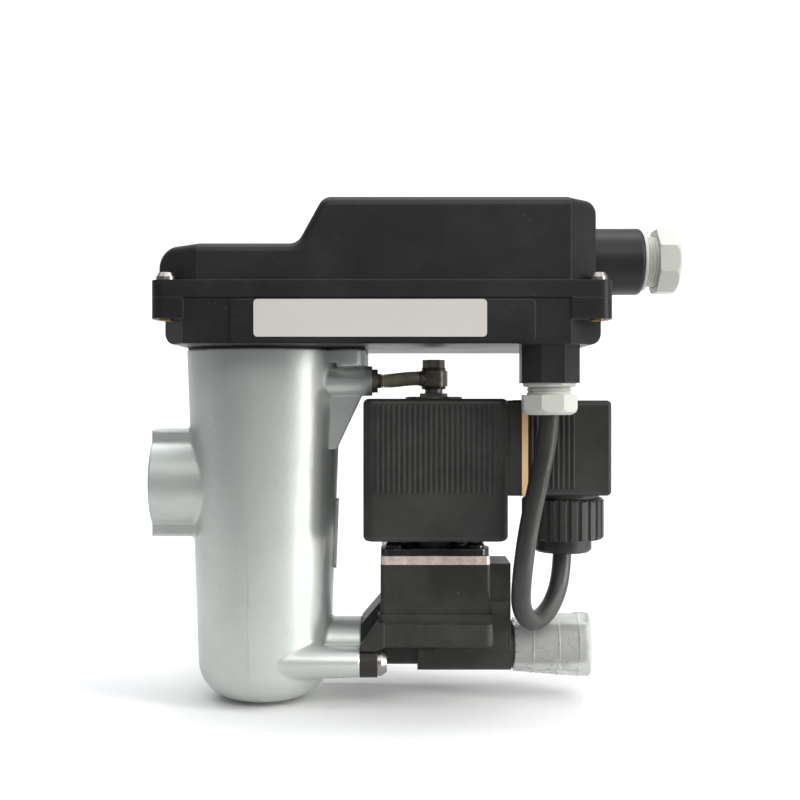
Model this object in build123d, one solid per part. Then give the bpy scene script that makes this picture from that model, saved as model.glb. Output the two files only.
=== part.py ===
from build123d import *
from math import asin, cos, degrees, pi, radians, sin, sqrt, tan
import os

os.makedirs("parts", exist_ok=True)

# Automatic condensate drain valve. Millimetres, +Z up, +X from the container towards the outlet,
# -Y is the side with the rating label. The origin is the centre of the inlet's end face.

# ---------------------------------------------------------------- clearances
slip = 0.1                # radial play of a piece that sits in a hole of its own body
run_gap = 0.08            # radial play of a sliding piece in its guide
rest_gap = 0.05           # sliding piece over its stop at rest
root = 0.5                # how far an added boss or post reaches into the wall that carries it

# ---------------------------------------------------------------- container casting
inlet_thread_r = 9.32     # minor radius of the G 1/2 thread
inlet_thread_length = 12.0
inlet_thread_runout = 0.8  # step from the thread down to the passage behind it
inlet_boss_r = 14.6
inlet_flats_half_z = 15.6  # half the height over the boss's two spanner flats
inlet_flats_half_y = 8.6   # half the width of those flats
container_x = 32.0        # inlet face to the container's axis
container_top_r = 23.0
container_draft = 2.1     # degrees
container_wall = 3.0
container_top_z = 38.8
container_low_z = -64.6
container_foot_r = 11.0   # rounding between wall and bottom
container_dome = 2.0      # rise of the bottom's edge over its centre

# screw lugs that carry the electronics housing: angle round the axis and distance from it
lug_r = 4.3
lug_height = 3.6
lug_round = 1.2           # height of the rounding under a lug
lug_reach = container_top_r + 5.9
lug_angle = 24.5          # the two lugs on the valve's side, degrees from +X
lug_wall_gap = 1.5        # rear screw's head to the housing's wall
lug_web_r = 1.8           # half the width of the web that ties a lug to the container
lug_web_share = 0.6       # where that web ends, as a share of the lug's reach

# pilot line boss
pilot_y = -8.0
pilot_z = 29.85
pilot_boss_r = 4.3        # at its outer end
pilot_root_r = 5.3
pilot_end_x = 64.3
pilot_bore_r = 1.5
gusset_width = 4.0
gusset_foot_z = 10.0
gusset_setback = 2.6      # gusset's tip behind the boss's end

cast_r = 1.5              # fillet where one part of the casting meets another
duct_root_r = 1.0
cast_edge_r = 0.8         # rounding of the casting's outer edges

# stub left by the trimmed ingate
gate_z = (-26.0, -5.0)
gate_width = 3.4
gate_proud = 0.7

# joint between casting and valve body
joint_x = 60.9
line_z = -48.8            # axis of the valve's inlet and outlet
duct_r = 8.2
duct_bore_r = 4.5
joint_bolt_y = 14.0
joint_bolt_z = -51.0
joint_lug_r = 4.3
joint_lug_root_r = 5.2
joint_bridge_share = 0.8  # half height of the bridge between the arms, in lug radii
joint_screw_depth = 9.0

# ---------------------------------------------------------------- electronics housing
seal_thickness = 0.8
seal_inset = 0.3          # flat seal inside the casting's outline
floor_z = container_top_z + seal_thickness
seam_z = 52.2
rim_half_y = 32.8         # half the depth of the housing over its rim
panel_proud = 0.4         # rim and label panel beyond the lower wall
rim_ledge = 0.8           # rim beyond the cover's wall
lower_wall = 2.6
lower_left_x = 6.9
lower_right_x = 128.4
lower_half_y = rim_half_y - panel_proud
lower_foot_r = 3.4
lower_left_cut = (6.8, 9.4)
lower_right_cut = (9.6, 9.0)
ear_height = 5.8
rim_left_x = 4.6
rim_right_x = 130.4
ear_r = 3.85
rim_height = 4.7
panel_left_x = 26.4
panel_right_x = 109.0
panel_gap_z = 0.6         # panel edge to the seam and to the housing's bottom
panel_corner_r = 1.2

cover_left_x = 4.7
cover_right_x = 127.1
cover_half_y = rim_half_y - rim_ledge
cover_left_cut = (12.2, 10.5)
cover_right_cut = (8.3, 8.2)
cover_wall = 2.4
cover_low_z = 67.1
cover_high_z = 79.8
slope_foot_x = 44.4
slope_head_x = 51.4
cover_edge_r = 2.6
cover_bend_r = 3.8        # where the top turns into the ends and the slope
cover_left_r = 6.0        # larger bend at the low end

gasket_inset = 0.7
gasket_width = 1.4
gasket_depth = 1.0

screw_m3_r = 1.5
screw_m3_head_r = 2.8
screw_m3_head_h = 2.2
screw_m4_r = 2.0
screw_m4_head_r = 3.8
screw_m4_head_h = 2.7
insert_r = 2.0
insert_proud = 0.5        # brass insert below its ear
screw_short = 0.4         # a screw is shorter than its hole by this

label_x = (32.8, 95.9)
label_z = (41.4, 51.6)
label_thickness = 0.2
label_corner_r = 1.1

# ---------------------------------------------------------------- electronics
post_r = 3.0
board_thickness = 1.6
board_z = 47.0
board_left_x = lower_left_x + 5.1
board_right_x = lower_right_x - 5.9
board_half_y = lower_half_y - 6.4
board_corner = 4.0
board_notch_x = board_right_x - 22.5   # corner left out over the conduit
board_screw_length = 5.0
board_posts = (
    (24.0, 4.0 - board_half_y), (24.0, board_half_y - 4.0), (104.0, board_half_y - 4.0),
)
display_z = 69.0
display_x = (56.0, 116.0)
display_half_y = 15.0
display_inset = (4.0, 3.0)             # screw places from the board's edges
display_screw_share = 0.7              # display screws against M3
display_screw_length = 4.6
transformer_box = (62.0, 90.0, 0.0, 24.0, 16.0)     # x0, x1, y0, y1, height
transformer_edge_r = 1.5
relay_box = (46.5, 60.0, 2.0, 20.0, 12.0)
terminal_box = (112.0, 121.0, -6.0, 18.0, 10.0)
terminal_ways = 4
terminal_entry_r = 1.6
terminal_entry_depth = 6.0
terminal_screw_r = 1.9
terminal_screw_depth = 3.0

# test button, its switch and the light pipes
button_x = 100.0
button_y = 0.0
button_r = 5.0
button_travel = 1.0
button_flange_r = 6.4
button_flange_h = 1.2
button_stem_r = 1.6
button_rim_gap = 0.1
button_edge = 0.5
button_dish = 0.2
switch_height = 3.0       # over the display board, plunger included
switch_half = 3.0
switch_over_gap = 0.3     # switch case under the pressed button
light_pipe_r = 1.6
light_pipe_x = (72.0, 80.0)

# level probe through the housing's floor
probe_plug_r = 11.0
probe_head_r = 13.5
probe_head_h = 1.8
probe_rod_r = 5.5
probe_low_z = -44.0
probe_neck = (6.0, 3.0)   # cone between rod and plug, below the container's top

# ---------------------------------------------------------------- cable glands
supply_boss_r = 9.9
supply_boss_end_x = 144.4
supply_boss_edge_r = 1.4
supply_z = 65.7
supply_thread_r = 7.6     # PG 9
supply_nut_flats = 18.6
supply_nut_length = 6.6
supply_neck = 4.0         # thread seen between boss and nut
supply_cable_r = 3.2      # clear hole of the relaxed seal

conduit_x = 113.9
conduit_y = -24.0
conduit_flats = 16.0
conduit_end_z = 29.0
conduit_top_gap = 2.4     # conduit's facets end below the seam
conduit_play = 1.0        # cable's play in the conduit
valve_thread_r = 6.25     # PG 7
valve_nut_flats = 14.8
valve_nut_length = 5.6
valve_neck = 3.2
cable_r = 2.8
seal_bore_r = cable_r - 0.8   # the cable's end seats on its seal

gland_thread_length = 8.0
gland_body_short = 1.0    # gland body shorter than the hole it screws into
gland_grip = 3.5          # length of thread inside the nut
gland_ridge = 0.45        # depth of the thread's grooves
gland_pitch = 1.1
gland_collar = 1.1        # collar beyond the thread
gland_bore_play = 0.8
seal_length = 1.6
seal_lip = 0.9

# ---------------------------------------------------------------- solenoid
valve_x = 82.5            # common axis of coil, armature and valve seat
coil_width = 41.1
coil_depth = 41.0
coil_top_z = 24.7
coil_low_z = -15.8
coil_rib_count = 23
coil_rib_pitch = 1.5
coil_rib_top_z = 22.6
coil_rib_low_z = -1.8
coil_rib_height = 0.35
coil_rib_half = 0.35
coil_upright_r = 3.0
coil_rim_r = 1.6
tube_r = 7.0
tube_wall = 0.5
plunger_length = 22.0
plunger_travel = 1.2
plunger_stop_gap = 0.1
core_stub_r = 2.7
core_stub_height = 2.2    # hollow stub over the core's head
core_head_r = 8.5
core_head_h = 1.2
core_bore_r = 1.25
plunger_spring_r = 3.0
plunger_pocket = 8.0
plunger_pocket_play = 0.8
spring_wire_r = 0.3

plug_half_y = 13.5
plug_low_z = -3.4
plug_top_z = 24.2
plug_base_length = 4.4
plug_gasket_thickness = 1.8
plug_gasket_proud = 0.15
plug_gasket_play = 0.4
plug_length = 24.2
plug_rib_count = 9
plug_rib_pitch = 1.5
plug_nut_r = 12.2
plug_nut_low_z = -16.9
plug_nut_flutes = 24
plug_flute_r = 0.75
plug_nut_chamfer = 0.6
plug_seat_gap = 1.4       # neck between plug and nut
plug_neck_inset = 1.4
plug_thread_r = 8.6
plug_collar_r = 8.6
plug_collar_low_z = -20.9
plug_collar_chamfer = 0.8
plug_wall = 2.0
plug_corner_r = 1.2
plug_end_r = 1.3
plug_rib_half = 0.3
plug_rib_margin = (2.2, 3.0)   # ribs' ends from the plug's bottom and top
insert_length = 12.0
insert_recess = 7.0       # room for the cores over the cable
seal_step = 2.0           # plug seal's thickness and the nut's floor under it
blade_root = 4.0
blade_reach = 9.0
blade_half = 3.15
blade_thickness = 0.8
blade_spread = 9.0
plug_screw_bite = 8.0
plug_screw_sink = 1.2

# ---------------------------------------------------------------- pilot line
banjo_r = 4.2
banjo_height = 4.6
bolt_r = 2.0
bolt_depth = 5.0          # thread of the banjo bolt below the coil's top
coil_nut_h = 1.0
coil_nut_half = 3.6       # half the width across its flats
bolt_bore_r = 0.9
washer_thickness = 0.9
washer_r = 3.6
banjo_head_r = 2.9
banjo_head_h = 2.4
hose_r = 2.1
hose_end_run = 3.6
banjo_turn = 208.0        # direction of the fitting's spigot in plan, degrees
banjo_spigot = 5.6
banjo_bore_r = 1.0
fitting_thread_r = 2.5
fitting_thread_length = 7.0
fitting_hex_r = 3.4
fitting_hex_length = 1.6
nipple_reach = 2.6

# ---------------------------------------------------------------- valve
block_half = 15.7
block_low_z = -37.0
plate_low_z = -22.8
plate_thickness = 2.4
flange_thickness = 2.0
flange_screw_offset = 11.6
hub_r = 10.5
chamber_r = 11.0
chamber_depth = 9.0       # ring chamber below the seat
membrane_r = 12.5
membrane_thickness = 1.0
seat_r = 5.2
seat_bore_r = 4.0
seat_z = -25.6
disc_r = 5.9
disc_hole_r = 6.2
valve_travel = 2.0
pilot_web = 0.8           # wall between diaphragm chamber and armature
pilot_hole_r = 0.8
disc_rise = 0.2           # disc over the block's top at rest
disc_groove = 0.8         # depth of the spring's groove in the disc
disc_spring_r = 3.6
flange_corner_r = 4.1
flange_scallop_r = 24.0   # hollow of each side between the screws
flange_scallop = 1.4
flange_screw_bite = 7.0
plate_corner_r = 1.4

plinth_height = 2.6
plinth_out = 0.7
foot_depth = 9.2          # foot's underside below the block
foot_out = 1.5
foot_corner_r = 2.4
foot_edge_r = 0.8
o_ring_r = 6.2
o_ring_half = 0.9
o_ring_thickness = 1.5
o_ring_play = 0.2
inlet_passage_r = 3.0
riser_r = 2.6
joint_plate = 5.0         # thickness of the valve body's side flange
tube_thin_r = 5.9
tube_thick_r = 7.6
tube_step_x = 77.6
tube_end_x = 105.4

nozzle_end_x = 127.4
nozzle_bore_r = 4.0
nozzle_thread_r = 5.0
nozzle_thread_length = 8.0
nozzle_collar = 0.6
nozzle_tip = 5.0          # smooth end beyond the barbs
barb_r = 6.3
barb_root_r = 5.6
cap_start_x = 106.2
cap_end_x = 129.4
cap_wall = 1.1
cap_rim_r = 7.9
cap_end_r = 9.4
cap_ring_places = (5.3, 12.8, 18.8)    # moulded rings, from the cap's rim
cap_floor = 1.6

BASE = (Align.CENTER, Align.CENTER, Align.MIN)
CORNER = (Align.MIN, Align.MIN, Align.MIN)


# ---------------------------------------------------------------- shared forms
def rod_x(radius, start, end, y=0.0, z=0.0):
    return Pos(start, y, z) * Rot(0, 90, 0) * Cylinder(radius, end - start, align=BASE)


def rod_y(radius, start, end, x=0.0, z=0.0):
    return Pos(x, start, z) * Rot(-90, 0, 0) * Cylinder(radius, end - start, align=BASE)


def rod_z(radius, start, end, x=0.0, y=0.0):
    return Pos(x, y, start) * Cylinder(radius, end - start, align=BASE)


def block(x0, x1, y0, y1, z0, z1):
    return Pos(x0, y0, z0) * Box(x1 - x0, y1 - y0, z1 - z0, align=CORNER)


def turned(*points):
    """Solid of revolution about Z from (radius, height) points."""
    return revolve(Plane.XZ * make_face(Polyline(*points, close=True)), Axis.Z)


def lying(solid, x, y=0.0, z=0.0):
    """Turns a solid made along +Z to run along +X from x."""
    return Pos(x, y, z) * Rot(0, 90, 0) * solid


def ring_z(outer, inner, start, end, x=0.0, y=0.0):
    return rod_z(outer, start, end, x, y) - rod_z(inner, start, end, x, y)


def octagon_z(flats, start, end, x=0.0, y=0.0):
    side_up = RegularPolygon(flats / 2, 8, major_radius=False, rotation=22.5)
    return Pos(x, y, start) * extrude(side_up, end - start)


def plan_outline(left, right, half, left_cut, right_cut, inset=0.0):
    """Rectangle with its four corners cut; left_cut and right_cut are (along X, along Y)."""
    points = [
        (left, half - left_cut[1]),
        (left + left_cut[0], half),
        (right - right_cut[0], half),
        (right, half - right_cut[1]),
    ]
    below = [(x, -y) for x, y in reversed(points)]
    outline = make_face(Polyline(*points, *below, close=True))
    return offset(outline, -inset, kind=Kind.INTERSECTION) if inset else outline


def ear_centres():
    return [
        (x, side * (rim_half_y - ear_r))
        for x in (rim_left_x + ear_r, rim_right_x - ear_r)
        for side in (-1, 1)
    ]


def pan_screw(shank_r, shank_length, head_r, head_h):
    """Pan head screw along -Z with its head's underside at the origin and a cross recess."""
    dome = head_h * 0.45
    body = turned((0, 0), (head_r, 0), (head_r, dome), (head_r * 0.72, head_h), (0, head_h))
    shank = rod_z(shank_r, -shank_length, 0)
    slot = Pos(0, 0, head_h) * (
        Box(head_r * 1.1, head_r * 0.28, head_h) + Box(head_r * 0.28, head_r * 1.1, head_h)
    )
    return body + shank - slot


def spring(mean_r, wire_r, turns, start, end):
    """Closed coil spring along Z between two heights."""
    height = end - start - 2 * wire_r
    path = Helix(pitch=height / turns, height=height, radius=mean_r)
    section = Plane(path @ 0, z_dir=path % 0) * Rectangle(2 * wire_r, 2 * wire_r)
    return Pos(0, 0, start + wire_r) * sweep(section, path, is_frenet=True)


# ---------------------------------------------------------------- container
def container_radius(z):
    return container_top_r - (container_top_z - z) * tan(radians(container_draft))


def container_body(inset):
    """Drafted round vessel; inset shrinks it to the shape of its cavity."""
    edge_z = container_low_z + container_dome + inset
    wall_r = container_radius(edge_z) - inset
    top_z = container_top_z
    outline = FilletPolyline(
        (container_top_r - inset, top_z), (wall_r, edge_z), (0, container_low_z + inset),
        radius=[container_foot_r - inset],
    )
    closing = Polyline((0, container_low_z + inset), (0, top_z), (container_top_r - inset, top_z))
    return Pos(container_x, 0, 0) * revolve(Plane.XZ * make_face([outline, closing]), Axis.Z)


def lug_centres():
    """Two lugs on the valve's side and one at the rear, whose screw clears the housing's wall."""
    rear_y = lower_half_y - lower_wall - screw_m4_head_r - lug_wall_gap
    rear_angle = 180 - degrees(asin(rear_y / lug_reach))
    return [
        (container_x + lug_reach * cos(radians(a)), lug_reach * sin(radians(a)))
        for a in (-lug_angle, lug_angle, rear_angle)
    ]


def inlet_boss():
    """Round boss with a block through it whose top and bottom are the spanner flats."""
    flats = block(0, container_x, -inlet_flats_half_y, inlet_flats_half_y,
                  -inlet_flats_half_z, inlet_flats_half_z)
    flats = fillet([e for e in flats.edges() if abs(e.tangent_at(0.5).X) > 0.9], cast_edge_r)
    return rod_x(inlet_boss_r, 0, container_x) + flats


def lug_outline(x, y, inset=0.0):
    """Plan of one lug and of the web that narrows towards the container."""
    web_x = container_x + (x - container_x) * lug_web_share
    return make_hull([
        *Circle(lug_r - inset).moved(Location((x, y))).edges(),
        *Circle(lug_web_r - inset).moved(Location((web_x, y * lug_web_share))).edges(),
    ])


def screw_lugs():
    low = container_top_z - lug_height
    lugs = []
    for x, y in lug_centres():
        column = Pos(0, 0, low) * extrude(lug_outline(x, y), lug_height)
        round_foot = rod_z(lug_r, low - lug_round, low, x, y) & Pos(x, y, low) * Sphere(lug_r)
        lugs.append(column + round_foot)
    return lugs


def gate_stub():
    """Flat oval pad that follows the container's draft on the side of the valve."""
    middle_z = sum(gate_z) / 2
    pad = SlotOverall(gate_z[1] - gate_z[0], gate_width, rotation=90)
    wall_x = container_x + container_radius(middle_z)
    pad = extrude(Plane.YZ * pad, gate_proud + cast_r)
    return Pos(wall_x - cast_r, 0, middle_z) * Rot(0, container_draft, 0) * pad


def joined(body, *extras, radius=cast_r):
    """Adds each piece to the casting and rounds the seam between them."""
    for extra in extras:
        whole = body + extra
        body = fillet(new_edges(body, extra, combined=whole), radius)
    return body


def container_casting():
    pilot_root_x = container_x + container_top_r * 0.4
    pilot = lying(Cone(pilot_root_r, pilot_boss_r, pilot_end_x - pilot_root_x, align=BASE),
                  pilot_root_x, pilot_y, pilot_z)
    gusset_face = make_face(Polyline(
        (container_x, pilot_z), (pilot_end_x - gusset_setback, pilot_z - pilot_boss_r * 0.8),
        (container_x + container_radius(gusset_foot_z), gusset_foot_z), (container_x, gusset_foot_z),
        close=True,
    ))
    gusset = Pos(0, pilot_y, 0) * extrude(Plane.XZ * gusset_face, gusset_width / 2, both=True)
    duct = rod_x(duct_r, container_x, joint_x, 0, line_z)
    bridge_half = joint_lug_r * joint_bridge_share
    bridge = block(container_x, joint_x, -joint_bolt_y, joint_bolt_y,
                   joint_bolt_z - bridge_half, joint_bolt_z + bridge_half)
    arms = [
        lying(Cone(joint_lug_root_r, joint_lug_r, joint_x - container_x, align=BASE),
              container_x, side * joint_bolt_y, joint_bolt_z)
        for side in (-1, 1)
    ]
    casting = joined(container_body(0), inlet_boss(), pilot, *arms)
    casting = joined(casting, duct, radius=duct_root_r)
    for extra in [gusset, bridge, gate_stub()] + screw_lugs():
        casting += extra
    casting -= container_body(container_wall)

    casting -= rod_x(inlet_thread_r, 0, inlet_thread_length)
    casting -= rod_x(inlet_thread_r - inlet_thread_runout, 0, container_x)
    casting -= rod_x(pilot_bore_r, container_x, pilot_end_x, pilot_y, pilot_z)
    casting -= rod_x(fitting_thread_r + slip, pilot_end_x - fitting_thread_length - slip,
                     pilot_end_x, pilot_y, pilot_z)
    casting -= rod_x(duct_bore_r, container_x, joint_x, 0, line_z)
    for side in (-1, 1):
        casting -= rod_x(screw_m4_r + slip, joint_x - joint_screw_depth, joint_x,
                         side * joint_bolt_y, joint_bolt_z)
    for x, y in lug_centres():
        casting -= rod_z(screw_m4_r + slip, container_top_z - lug_height, container_top_z, x, y)
    return casting


def container_seal():
    outline = Pos(container_x, 0) * Circle(container_top_r - seal_inset)
    for x, y in lug_centres():
        outline += lug_outline(x, y, seal_inset)
        outline -= Pos(x, y) * Circle(screw_m4_r + slip)
    outline -= Pos(container_x, 0) * Circle(container_top_r - container_wall)
    return Pos(0, 0, container_top_z) * extrude(outline, seal_thickness)


def container_screws():
    floor_top = floor_z + lower_wall
    length = floor_top - container_top_z + lug_height - screw_short
    screw = pan_screw(screw_m4_r, length, screw_m4_head_r, screw_m4_head_h)
    return [Pos(x, y, floor_top) * screw for x, y in lug_centres()]


def level_probe():
    floor_top = floor_z + lower_wall
    neck_low, neck_high = probe_neck
    probe = turned(
        (0, probe_low_z + probe_rod_r), (probe_rod_r, probe_low_z + probe_rod_r),
        (probe_rod_r, container_top_z - neck_low), (probe_plug_r, container_top_z - neck_high),
        (probe_plug_r, floor_top), (probe_head_r, floor_top),
        (probe_head_r, floor_top + probe_head_h), (0, floor_top + probe_head_h),
    )
    tip = Pos(0, 0, probe_low_z + probe_rod_r) * Sphere(probe_rod_r)
    return Pos(container_x, 0, 0) * (probe + tip)


# ---------------------------------------------------------------- housing and cover
def lower_plan(inset=0.0):
    return plan_outline(lower_left_x, lower_right_x, lower_half_y,
                        lower_left_cut, lower_right_cut, inset)


def cover_plan(inset=0.0):
    return plan_outline(cover_left_x, cover_right_x, cover_half_y,
                        cover_left_cut, cover_right_cut, inset)


def rim_plan():
    width = rim_right_x - rim_left_x
    outline = RectangleRounded(width, 2 * rim_half_y, ear_r)
    return Pos(rim_left_x + width / 2, 0) * outline


def gasket_outline():
    return lower_plan(gasket_inset) - lower_plan(gasket_inset + gasket_width)


def hood_gasket():
    return Pos(0, 0, seam_z - gasket_depth) * extrude(gasket_outline(), gasket_depth)


def lower_housing():
    side = make_face(Polyline((lower_left_x, floor_z), (lower_right_x, floor_z),
                              (lower_right_x, seam_z), (lower_left_x, seam_z), close=True))
    feet = [v for v in side.vertices() if v.Y < floor_z + 1]
    side = fillet(feet, lower_foot_r)
    shell = Pos(0, 0, floor_z) * extrude(lower_plan(), seam_z - floor_z)
    shell &= extrude(Plane.XZ * side, lower_half_y + 1, both=True)

    ear_slab = Pos(0, 0, seam_z - ear_height) * extrude(rim_plan(), ear_height)
    for x in (rim_left_x, lower_right_x - lower_right_cut[0]):
        width = lower_left_x + lower_left_cut[0] - rim_left_x
        if x > rim_left_x:
            width = rim_right_x - x
        for y in (-rim_half_y, rim_half_y - lower_left_cut[1]):
            shell += ear_slab & block(x, x + width, y, y + lower_left_cut[1], floor_z, seam_z)

    panel_z = (floor_z + panel_gap_z, seam_z - panel_gap_z)
    panel = block(panel_left_x, panel_right_x, -rim_half_y, root - lower_half_y, *panel_z)
    panel = fillet([e for e in panel.edges() if abs(e.tangent_at(0.5).Y) > 0.9], panel_corner_r)
    conduit = octagon_z(conduit_flats, conduit_end_z, seam_z - conduit_top_gap, conduit_x, conduit_y)
    shell += panel + conduit

    shell -= Pos(0, 0, floor_z + lower_wall) * extrude(lower_plan(lower_wall), seam_z)
    shell += [rod_z(post_r, floor_z + root, board_z, x, y) for x, y in board_posts]
    conduit_top = floor_z + lower_wall + 1.0
    shell += rod_z(conduit_flats * 0.45, floor_z + root, conduit_top, conduit_x, conduit_y)
    shell -= Pos(0, 0, seam_z - gasket_depth) * extrude(gasket_outline(), gasket_depth)
    shell -= rod_z(valve_thread_r + slip, conduit_end_z, conduit_end_z + gland_thread_length, conduit_x,
                   conduit_y)
    shell -= rod_z(cable_r + conduit_play, conduit_end_z, conduit_top, conduit_x, conduit_y)
    shell -= rod_z(probe_plug_r + slip, floor_z, floor_z + lower_wall, container_x)
    for x, y in lug_centres():
        shell -= rod_z(screw_m4_r + slip, floor_z, floor_z + lower_wall, x, y)
    for x, y in board_posts:
        shell -= rod_z(screw_m3_r + slip, board_z - board_screw_length, board_z, x, y)
    for x, y in ear_centres():
        shell -= rod_z(insert_r + slip, seam_z - ear_height, seam_z, x, y)
    return shell


def hood_inserts():
    low, high = seam_z - ear_height - insert_proud, seam_z
    return [ring_z(insert_r, screw_m3_r + slip, low, high, x, y) for x, y in ear_centres()]


def hood_screws():
    length = rim_height + ear_height - 2 * screw_short
    screw = pan_screw(screw_m3_r, length, screw_m3_head_r, screw_m3_head_h)
    return [Pos(x, y, seam_z + rim_height) * screw for x, y in ear_centres()]


def cover_block(inset):
    """Outer form of the cover over its rim; inset shrinks it to the shape of its cavity."""
    base_z = seam_z + rim_height * 0.5
    slope = (cover_high_z - cover_low_z) / (slope_head_x - slope_foot_x)
    shift = inset * (sqrt(1 + slope * slope) - 1) / slope
    left, right = cover_left_x + inset, cover_right_x - inset
    low, high = cover_low_z - inset, cover_high_z - inset
    side = make_face(Polyline(
        (left, base_z), (right, base_z), (right, high), (slope_head_x + shift + inset * 0.2, high),
        (slope_foot_x + shift + inset * 0.2, low), (left, low), close=True,
    ))
    low_end = [v for v in side.vertices() if v.Y > base_z + 1 and v.X < slope_foot_x - 1]
    side = fillet(low_end, cover_left_r - inset)
    bends = [v for v in side.vertices() if v.Y > base_z + 1 and v.X > slope_foot_x]
    side = fillet(bends, cover_bend_r - inset)
    solid = Pos(0, 0, base_z) * extrude(cover_plan(inset), high - base_z)
    return solid & extrude(Plane.XZ * side, cover_half_y + 1, both=True)


def display_posts():
    along, across = display_inset
    return [
        (x, side * (display_half_y - across))
        for x in (display_x[0] + along, display_x[1] - along)
        for side in (-1, 1)
    ]


def hood_cover():
    cover = cover_block(0)
    top_edges = [
        e for e in cover.edges()
        if e.center().Z > seam_z + rim_height + 2
        and abs(e.tangent_at(0.5).Z) < 0.99
        and abs(e.tangent_at(0.5).Y) < 0.99
    ]
    cover = fillet(top_edges, cover_edge_r)
    cover += Pos(0, 0, seam_z) * extrude(rim_plan(), rim_height)
    boss = rod_x(supply_boss_r, cover_right_x - cover_wall, supply_boss_end_x, 0, supply_z)
    boss_rim = [e for e in boss.edges() if e.center().X > supply_boss_end_x - 0.1]
    cover += fillet(boss_rim, supply_boss_edge_r)
    cover -= cover_block(cover_wall)
    cover -= Pos(0, 0, seam_z) * extrude(lower_plan(lower_wall), rim_height)
    cover += [
        rod_z(post_r, display_z + board_thickness, cover_high_z - cover_wall + root, x, y)
        for x, y in display_posts()
    ]
    cover -= rod_x(supply_thread_r + slip, cover_right_x - cover_wall * 2, supply_boss_end_x, 0, supply_z)
    for x, y in ear_centres():
        cover -= rod_z(screw_m3_r + slip, seam_z, seam_z + rim_height, x, y)
    cover -= rod_z(button_r + run_gap, display_z, cover_high_z, button_x, button_y)
    for x in light_pipe_x:
        cover -= rod_z(light_pipe_r + slip, display_z, cover_high_z, x, button_y)
    for x, y in display_posts():
        cover -= rod_z(display_screw_r() + slip, display_z, display_z + display_screw_length + slip, x, y)
    return cover


def rating_label():
    width, height = label_x[1] - label_x[0], label_z[1] - label_z[0]
    plate = extrude(RectangleRounded(width, height, label_corner_r), label_thickness)
    middle = ((label_x[0] + label_x[1]) / 2, -rim_half_y, (label_z[0] + label_z[1]) / 2)
    return Pos(*middle) * Rot(90, 0, 0) * plate


# ---------------------------------------------------------------- electronics pieces
def main_board():
    low = board_z
    length = board_right_x - board_left_x
    outline = chamfer(Rectangle(length, 2 * board_half_y).vertices(), board_corner)
    board = Pos(board_left_x + length / 2, 0, low) * extrude(outline, board_thickness)
    board -= block(board_notch_x, board_right_x, -board_half_y, conduit_y + conduit_flats * 0.55,
                   low, low + board_thickness)
    board -= rod_z(probe_head_r + 1.0, low, low + board_thickness, container_x)
    for x, y in board_posts:
        board -= rod_z(screw_m3_r + slip, low, low + board_thickness, x, y)
    return board


def on_board(box):
    x0, x1, y0, y1, height = box
    low = board_z + board_thickness
    return block(x0, x1, y0, y1, low, low + height)


def transformer():
    case = on_board(transformer_box)
    upright = [e for e in case.edges() if abs(e.tangent_at(0.5).Z) > 0.9]
    return fillet(upright, transformer_edge_r)


def terminal_block():
    x0, x1, y0, y1, height = terminal_box
    case = on_board(terminal_box)
    pitch = (y1 - y0) / terminal_ways
    top = board_z + board_thickness + height
    for i in range(terminal_ways):
        y = y0 + pitch * (i + 0.5)
        case -= rod_x(terminal_entry_r, x1 - terminal_entry_depth, x1, y, top - height * 0.7)
        case -= rod_z(terminal_screw_r, top - terminal_screw_depth, top, (x0 + x1) / 2, y)
    return case


def board_screws():
    screw = pan_screw(screw_m3_r, board_screw_length, screw_m3_head_r, screw_m3_head_h)
    return [Pos(x, y, board_z + board_thickness) * screw for x, y in board_posts]


def display_screw_r():
    return screw_m3_r * display_screw_share


def display_board():
    board = block(*display_x, -display_half_y, display_half_y, display_z, display_z + board_thickness)
    for x, y in display_posts():
        board -= rod_z(display_screw_r() + slip, display_z, display_z + board_thickness, x, y)
    return board


def display_screws():
    screw = pan_screw(display_screw_r(), display_screw_length, screw_m3_head_r * display_screw_share,
                      screw_m3_head_h * display_screw_share)
    return [Pos(x, y, display_z) * Rot(180, 0, 0) * screw for x, y in display_posts()]


def test_button():
    """Push button, its stem's foot rest_gap over the switch."""
    top = cover_high_z
    flange_top = cover_high_z - cover_wall - button_rim_gap
    flange_low = flange_top - button_flange_h
    foot = display_z + board_thickness + switch_height + rest_gap
    return Pos(button_x, button_y, 0) * turned(
        (0, foot), (button_stem_r, foot), (button_stem_r, flange_low), (button_flange_r, flange_low),
        (button_flange_r, flange_top), (button_r, flange_top), (button_r, top - button_edge),
        (button_r - button_edge, top), (0, top - button_dish),
    )


def test_switch():
    low = display_z + board_thickness
    high = low + switch_height - button_travel - switch_over_gap
    return block(button_x - switch_half, button_x + switch_half,
                 button_y - switch_half, button_y + switch_half, low, high)


def light_pipes():
    low, high = display_z + board_thickness, cover_high_z
    return [rod_z(light_pipe_r, low, high, x, button_y) for x in light_pipe_x]


# ---------------------------------------------------------------- cable gland pieces
def gland_body(thread_r, neck, bore_r):
    """Gland body along +Z; the boss face is at 0 and the thread reaches down into the boss."""
    thread_r -= slip / 2
    collar_r = thread_r + gland_collar
    low = gland_body_short - gland_thread_length
    points = [(bore_r, low), (thread_r, low), (thread_r, 0)]
    points += [(collar_r, 0), (collar_r, gland_pitch * 0.8), (thread_r, gland_pitch)]
    turns = int((neck - gland_pitch) / gland_pitch) + 1
    for i in range(turns):
        z = gland_pitch * (i + 1.2)
        points += [(thread_r - gland_ridge, z), (thread_r, z + gland_pitch * 0.35),
                   (thread_r, z + gland_pitch * 0.55)]
    top = neck + gland_grip
    points += [(thread_r - gland_ridge, top), (bore_r, top)]
    return turned(*points)


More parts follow.
